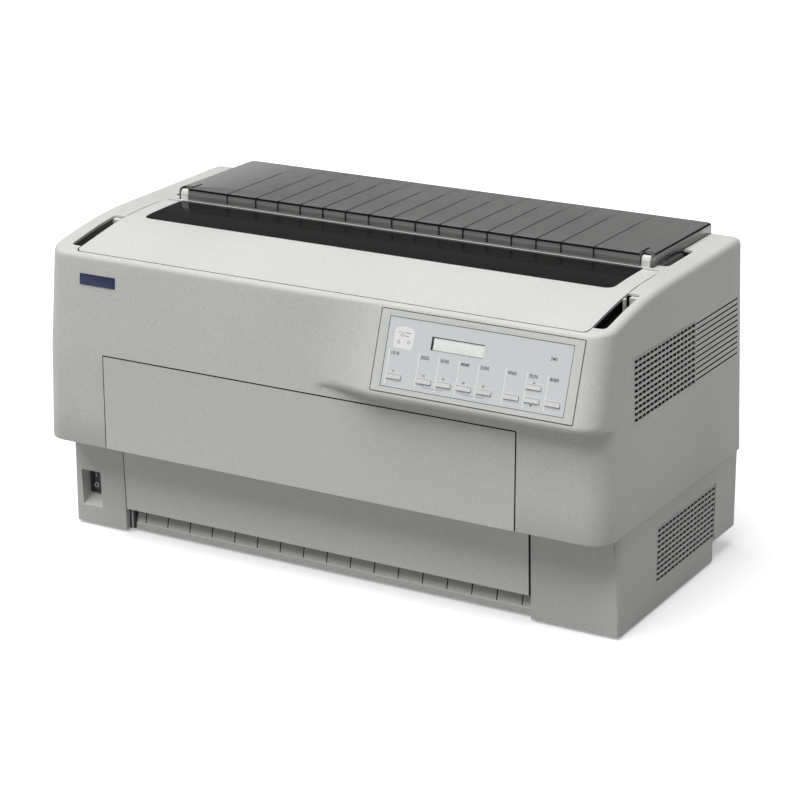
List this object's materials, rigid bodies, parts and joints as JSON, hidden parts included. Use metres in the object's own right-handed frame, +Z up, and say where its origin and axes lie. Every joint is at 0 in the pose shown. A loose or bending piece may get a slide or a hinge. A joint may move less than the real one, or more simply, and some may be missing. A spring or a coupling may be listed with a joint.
{
  "type": "dot matrix printer",
  "caption": "Wide impact printer with hinged cover and tinted window, smoked paper guide, key panel, front cover, rear door, sliding carriage and tractors.",
  "frame": {"origin": "middle of the footprint, on the surface that the feet stand on", "axes": "+X to the right of the front, +Y to the rear, +Z up"},
  "size_m": [0.7, 0.382, 0.3731],
  "materials": {
    "housing": "fine texture",
    "cover_white": "fine texture",
    "vent": "fine texture",
    "guide_grey": "satin",
    "rubber_foot": "matt",
    "panel_film": "satin film",
    "circuit_board": "solder mask",
    "display_glass": "matt glass",
    "key_white": "smooth",
    "black_plastic": "satin",
    "lug_white": "smooth",
    "smoked": "polished",
    "tinted": "polished",
    "dark_plastic": "satin",
    "steel": "zinc plated",
    "shaft_steel": "ground",
    "platen_steel": "black oxide",
    "head_metal": "black anodised",
    "carriage_cast": "die cast",
    "motor_metal": "satin",
    "belt_rubber": "matt",
    "wheel_plastic": "smooth"
  },
  "bodies": {
    "case": {"base_tub": "housing", "upper_case": "housing", "grille_upper": "vent", "grille_lower": "vent", "lower_panel": "housing", "front_sill": "guide_grey", "feet": "rubber_foot", "panel_frame": "housing", "panel_overlay": "panel_film", "panel_board": "circuit_board", "display": "display_glass", "switch_housing": "black_plastic", "rear_ports": "black_plastic", "exit_chute": "dark_plastic", "guide_lugs": "lug_white", "side_frame_left": "steel", "side_frame_right": "steel", "platen": "platen_steel", "guide_shaft_front": "shaft_steel", "guide_shaft_rear": "shaft_steel", "ribbon_cartridge": "black_plastic", "carriage_motor": "motor_metal", "carriage_belt": "belt_rubber", "tractor_rod_front": "shaft_steel", "tractor_rod_rear": "shaft_steel", "feed_motor_front": "motor_metal", "feed_motor_rear": "motor_metal", "fan_frame": "black_plastic", "power_supply": "steel", "main_board": "circuit_board"},
    "top_cover": {"top_cover": "cover_white", "top_window": "tinted"},
    "paper_guide": {"paper_guide": "smoked"},
    "front_cover": {"front_cover": "housing"},
    "rear_door": {"rear_door": "housing"},
    "power_rocker": {"power_rocker": "black_plastic"},
    "carriage": {"carriage": "carriage_cast", "print_head": "head_metal"},
    "pulley_drive": {"pulley_drive": "steel"},
    "pulley_idler": {"pulley_idler": "steel"},
    "feed_shaft_front": {"feed_shaft_front": "shaft_steel"},
    "feed_shaft_rear": {"feed_shaft_rear": "shaft_steel"},
    "fan_rotor": {"fan_rotor": "dark_plastic"},
    "key_1": {"key_1": "key_white"},
    "key_2": {"key_2": "key_white"},
    "key_3": {"key_3": "key_white"},
    "key_4": {"key_4": "key_white"},
    "key_5": {"key_5": "key_white"},
    "key_6": {"key_6": "key_white"},
    "key_7": {"key_7": "key_white"},
    "key_8": {"key_8": "key_white"},
    "key_9": {"key_9": "key_white"},
    "tractor_front_left": {"tractor_front_left": "dark_plastic"},
    "wheel_front_left": {"wheel_front_left": "wheel_plastic"},
    "tractor_front_right": {"tractor_front_right": "dark_plastic"},
    "wheel_front_right": {"wheel_front_right": "wheel_plastic"},
    "tractor_rear_left": {"tractor_rear_left": "dark_plastic"},
    "wheel_rear_left": {"wheel_rear_left": "wheel_plastic"},
    "tractor_rear_right": {"tractor_rear_right": "dark_plastic"},
    "wheel_rear_right": {"wheel_rear_right": "wheel_plastic"}
  },
  "joints": [
    {"name": "top_cover_hinge", "type": "hinge", "parent": "case", "child": "top_cover", "pos_m": [0.006, 0.015, 0.35527], "axis": [-1, 0, 0], "range_deg": [0, 65]},
    {"name": "paper_guide_hinge", "type": "hinge", "parent": "case", "child": "paper_guide", "pos_m": [0.006, 0.0312, 0.36663], "axis": [1, 0, 0], "range_deg": [0, 75]},
    {"name": "front_cover_hinge", "type": "hinge", "parent": "case", "child": "front_cover", "pos_m": [-0.0085, -0.1625, 0.125], "axis": [1, 0, 0], "range_deg": [0, 80]},
    {"name": "rear_door_hinge", "type": "hinge", "parent": "case", "child": "rear_door", "pos_m": [0, 0.18, 0.151], "axis": [-1, 0, 0], "range_deg": [0, 85]},
    {"name": "power_switch", "type": "hinge", "parent": "case", "child": "power_rocker", "pos_m": [-0.32125, -0.102, 0.051], "axis": [1, 0, 0], "range_deg": [-7, 7]},
    {"name": "key_1_press", "type": "slide", "parent": "case", "child": "key_1", "axis": [0, 0.9475, -0.3197], "range_m": [0, 0.0008], "stiffness_N_per_m": 300, "springref_m": -0.0005},
    {"name": "key_2_press", "type": "slide", "parent": "case", "child": "key_2", "axis": [0, 0.9475, -0.3197], "range_m": [0, 0.0008], "stiffness_N_per_m": 300, "springref_m": -0.0005},
    {"name": "key_3_press", "type": "slide", "parent": "case", "child": "key_3", "axis": [0, 0.9475, -0.3197], "range_m": [0, 0.0008], "stiffness_N_per_m": 300, "springref_m": -0.0005},
    {"name": "key_4_press", "type": "slide", "parent": "case", "child": "key_4", "axis": [0, 0.9475, -0.3197], "range_m": [0, 0.0008], "stiffness_N_per_m": 300, "springref_m": -0.0005},
    {"name": "key_5_press", "type": "slide", "parent": "case", "child": "key_5", "axis": [0, 0.9475, -0.3197], "range_m": [0, 0.0008], "stiffness_N_per_m": 300, "springref_m": -0.0005},
    {"name": "key_6_press", "type": "slide", "parent": "case", "child": "key_6", "axis": [0, 0.9475, -0.3197], "range_m": [0, 0.0008], "stiffness_N_per_m": 300, "springref_m": -0.0005},
    {"name": "key_7_press", "type": "slide", "parent": "case", "child": "key_7", "axis": [0, 0.9475, -0.3197], "range_m": [0, 0.0008], "stiffness_N_per_m": 300, "springref_m": -0.0005},
    {"name": "key_8_press", "type": "slide", "parent": "case", "child": "key_8", "axis": [0, 0.9475, -0.3197], "range_m": [0, 0.0008], "stiffness_N_per_m": 300, "springref_m": -0.0005},
    {"name": "key_9_press", "type": "slide", "parent": "case", "child": "key_9", "axis": [0, 0.9475, -0.3197], "range_m": [0, 0.0008], "stiffness_N_per_m": 300, "springref_m": -0.0005},
    {"name": "carriage_slide", "type": "slide", "parent": "case", "child": "carriage", "axis": [1, 0, 0], "range_m": [-0.22, 0.22]},
    {"name": "drive_pulley_spin", "type": "hinge", "parent": "case", "child": "pulley_drive", "pos_m": [-0.256, -0.067, 0.2361], "axis": [0, 0, 1], "range_deg": [-1050, 1050]},
    {"name": "idler_pulley_spin", "type": "hinge", "parent": "case", "child": "pulley_idler", "pos_m": [0.268, -0.067, 0.2361], "axis": [0, 0, 1], "range_deg": [-1050, 1050]},
    {"name": "front_feed_spin", "type": "hinge", "parent": "case", "child": "feed_shaft_front", "pos_m": [0.006, -0.125, 0.185], "axis": [1, 0, 0], "continuous": true},
    {"name": "rear_feed_spin", "type": "hinge", "parent": "case", "child": "feed_shaft_rear", "pos_m": [0.006, 0.125, 0.225], "axis": [1, 0, 0], "continuous": true},
    {"name": "tractor_front_left_slide", "type": "slide", "parent": "case", "child": "tractor_front_left", "axis": [1, 0, 0], "range_m": [-0.08, 0.08]},
    {"name": "wheel_front_left_spin", "type": "hinge", "parent": "tractor_front_left", "child": "wheel_front_left", "pos_m": [-0.164, -0.125, 0.185], "axis": [1, 0, 0], "continuous": true},
    {"name": "tractor_front_right_slide", "type": "slide", "parent": "case", "child": "tractor_front_right", "axis": [1, 0, 0], "range_m": [-0.08, 0.08]},
    {"name": "wheel_front_right_spin", "type": "hinge", "parent": "tractor_front_right", "child": "wheel_front_right", "pos_m": [0.176, -0.125, 0.185], "axis": [1, 0, 0], "continuous": true},
    {"name": "tractor_rear_left_slide", "type": "slide", "parent": "case", "child": "tractor_rear_left", "axis": [1, 0, 0], "range_m": [-0.08, 0.08]},
    {"name": "wheel_rear_left_spin", "type": "hinge", "parent": "tractor_rear_left", "child": "wheel_rear_left", "pos_m": [-0.164, 0.125, 0.225], "axis": [1, 0, 0], "continuous": true},
    {"name": "tractor_rear_right_slide", "type": "slide", "parent": "case", "child": "tractor_rear_right", "axis": [1, 0, 0], "range_m": [-0.08, 0.08]},
    {"name": "wheel_rear_right_spin", "type": "hinge", "parent": "tractor_rear_right", "child": "wheel_rear_right", "pos_m": [0.176, 0.125, 0.225], "axis": [1, 0, 0], "continuous": true},
    {"name": "fan_spin", "type": "hinge", "parent": "case", "child": "fan_rotor", "pos_m": [0.32, -0.02, 0.265], "axis": [1, 0, 0], "continuous": true}
  ],
  "couplings": [
    {"joint": "drive_pulley_spin", "follows": "carriage_slide", "rad_per_m": -82.988},
    {"joint": "idler_pulley_spin", "follows": "carriage_slide", "rad_per_m": -82.988},
    {"joint": "wheel_front_left_spin", "follows": "front_feed_spin", "ratio": 1},
    {"joint": "wheel_front_right_spin", "follows": "front_feed_spin", "ratio": 1},
    {"joint": "wheel_rear_left_spin", "follows": "rear_feed_spin", "ratio": 1},
    {"joint": "wheel_rear_right_spin", "follows": "rear_feed_spin", "ratio": 1}
  ]
}
